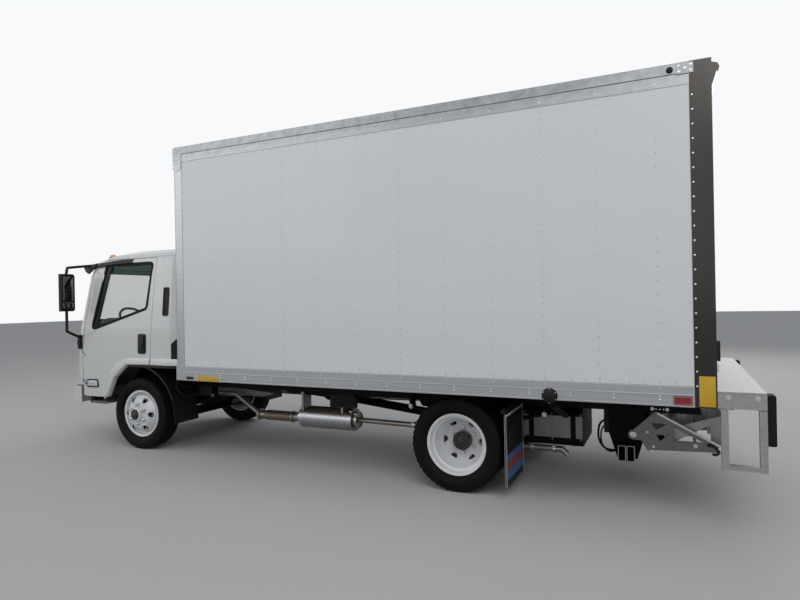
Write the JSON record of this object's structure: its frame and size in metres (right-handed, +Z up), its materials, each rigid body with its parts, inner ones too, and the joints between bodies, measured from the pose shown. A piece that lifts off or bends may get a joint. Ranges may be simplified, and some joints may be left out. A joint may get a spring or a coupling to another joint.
{
  "type": "cab-over box truck",
  "caption": "Cab-over box truck with tilting cab, hinged doors, steered and twin wheels, riveted van body, roll-up rear door, dock step and tuck-under lift.",
  "frame": {"origin": "on the ground under the middle of the vehicle's box of extents", "axes": "+X to the front of the truck, +Y to the driver's left, +Z up"},
  "size_m": [7.1978, 2.535, 3.235],
  "materials": {
    "chassis_black": "satin",
    "engine_iron": "rough",
    "gear_alloy": "cast",
    "pipe_steel": "dull",
    "cab_white": "gloss",
    "body_white": "satin",
    "body_alloy": "mill",
    "roof_alloy": "mill",
    "post_steel": "bright",
    "deck_wood": "worn",
    "black_rubber": "matte",
    "tyre": "matte",
    "wheel_white": "satin",
    "window_glass": "clear",
    "inside_grey": "grained",
    "seat_cloth": "woven",
    "floor_mat": "grained",
    "clear_lens": "clear",
    "red_lens": "clear",
    "mirror_black": "grained",
    "galvanised": "galvanised",
    "ram_chrome": "polished"
  },
  "bodies": {
    "chassis": {"frame_rails": "chassis_black", "cross_members": "chassis_black", "cab_mounts": "chassis_black", "front_axle": "chassis_black", "leaf_springs": "chassis_black", "rear_axle": "chassis_black", "engine": "engine_iron", "gearbox": "gear_alloy", "driveshaft": "chassis_black", "fuel_tank": "chassis_black", "exhaust": "pipe_steel", "battery_box": "chassis_black", "front_bumper": "cab_white", "mud_flaps": "black_rubber", "cargo_floor": "deck_wood", "body_rails": "body_alloy", "side_walls": "body_white", "corner_posts": "body_alloy", "front_wall": "body_white", "cargo_roof": "roof_alloy", "rear_frame": "post_steel", "rear_door": "body_white", "dock_step": "galvanised", "dock_bumpers": "black_rubber", "body_lamps": "red_lens", "lift_mount": "chassis_black"},
    "cab": {"cab_front_panel": "cab_white", "cab_back_panel": "cab_white", "cab_roof": "cab_white", "cab_glass": "window_glass", "cab_floor": "floor_mat", "seat_riser": "floor_mat", "dashboard": "inside_grey", "steering_wheel": "inside_grey", "cab_seats": "seat_cloth", "cab_lamps": "clear_lens", "mirrors": "mirror_black"},
    "door_left": {"door_left": "cab_white", "door_glass_left": "window_glass"},
    "door_right": {"door_right": "cab_white", "door_glass_right": "window_glass"},
    "knuckle_left": {"knuckle_left": "chassis_black"},
    "knuckle_right": {"knuckle_right": "chassis_black"},
    "tie_rod": {"tie_rod": "chassis_black"},
    "wheel_front_left": {"wheel_front_left": "wheel_white", "tyre_front_left": "tyre"},
    "wheel_front_right": {"wheel_front_right": "wheel_white", "tyre_front_right": "tyre"},
    "wheels_rear_left": {"wheels_rear_left": "wheel_white", "tyres_rear_left": "tyre"},
    "wheels_rear_right": {"wheels_rear_right": "wheel_white", "tyres_rear_right": "tyre"},
    "lift": {"lift_arms": "galvanised", "lift_platform": "galvanised"},
    "ram_barrel": {"ram_barrel": "chassis_black"},
    "ram_rod": {"ram_rod": "ram_chrome"}
  },
  "joints": [
    {"name": "cab_tilt", "type": "hinge", "parent": "chassis", "child": "cab", "pos_m": [3.459, 0, 0.69], "axis": [0, 1, 0], "range_deg": [0, 45]},
    {"name": "door_left_hinge", "type": "hinge", "parent": "cab", "child": "door_left", "pos_m": [3.33, 1.013, 1], "axis": [0, 0, -1], "range_deg": [0, 70]},
    {"name": "door_right_hinge", "type": "hinge", "parent": "cab", "child": "door_right", "pos_m": [3.33, -1.013, 1], "axis": [0, 0, 1], "range_deg": [0, 70]},
    {"name": "steer_left", "type": "hinge", "parent": "chassis", "child": "knuckle_left", "pos_m": [2.496, 0.69, 0.4], "axis": [0, 0, 1], "range_deg": [-35, 35]},
    {"name": "steer_right", "type": "hinge", "parent": "chassis", "child": "knuckle_right", "pos_m": [2.496, -0.69, 0.4], "axis": [0, 0, 1], "range_deg": [-35, 35]},
    {"name": "tie_rod_end", "type": "hinge", "parent": "knuckle_left", "child": "tie_rod", "pos_m": [2.316, 0.64, 0.292], "axis": [0, 0, 1], "range_deg": [-35, 35]},
    {"name": "front_left_spin", "type": "hinge", "parent": "knuckle_left", "child": "wheel_front_left", "pos_m": [2.496, 0.833, 0.4], "axis": [0, 1, 0], "continuous": true},
    {"name": "front_right_spin", "type": "hinge", "parent": "knuckle_right", "child": "wheel_front_right", "pos_m": [2.496, -0.833, 0.4], "axis": [0, 1, 0], "continuous": true},
    {"name": "rear_left_spin", "type": "hinge", "parent": "chassis", "child": "wheels_rear_left", "pos_m": [-1.314, 0.82, 0.4], "axis": [0, 1, 0], "continuous": true},
    {"name": "rear_right_spin", "type": "hinge", "parent": "chassis", "child": "wheels_rear_right", "pos_m": [-1.314, -0.82, 0.4], "axis": [0, 1, 0], "continuous": true},
    {"name": "lift_pivot", "type": "hinge", "parent": "chassis", "child": "lift", "pos_m": [-2.676, 0, 0.471], "axis": [0, -1, 0], "range_deg": [0, 30]},
    {"name": "ram_pivot", "type": "hinge", "parent": "chassis", "child": "ram_barrel", "pos_m": [-2.725, 0, 0.332], "axis": [0, -1, 0], "range_deg": [0, 34.25]},
    {"name": "ram_slide", "type": "slide", "parent": "ram_barrel", "child": "ram_rod", "axis": [-0.9807, 0, 0.1957], "range_m": [-0.0708, 0]}
  ],
  "couplings": [
    {"joint": "steer_right", "follows": "steer_left", "ratio": 1},
    {"joint": "tie_rod_end", "follows": "steer_left", "ratio": -1},
    {"joint": "ram_pivot", "follows": "lift_pivot", "ratio": 1.14},
    {"joint": "ram_slide", "follows": "lift_pivot", "m_per_rad": -0.135}
  ]
}
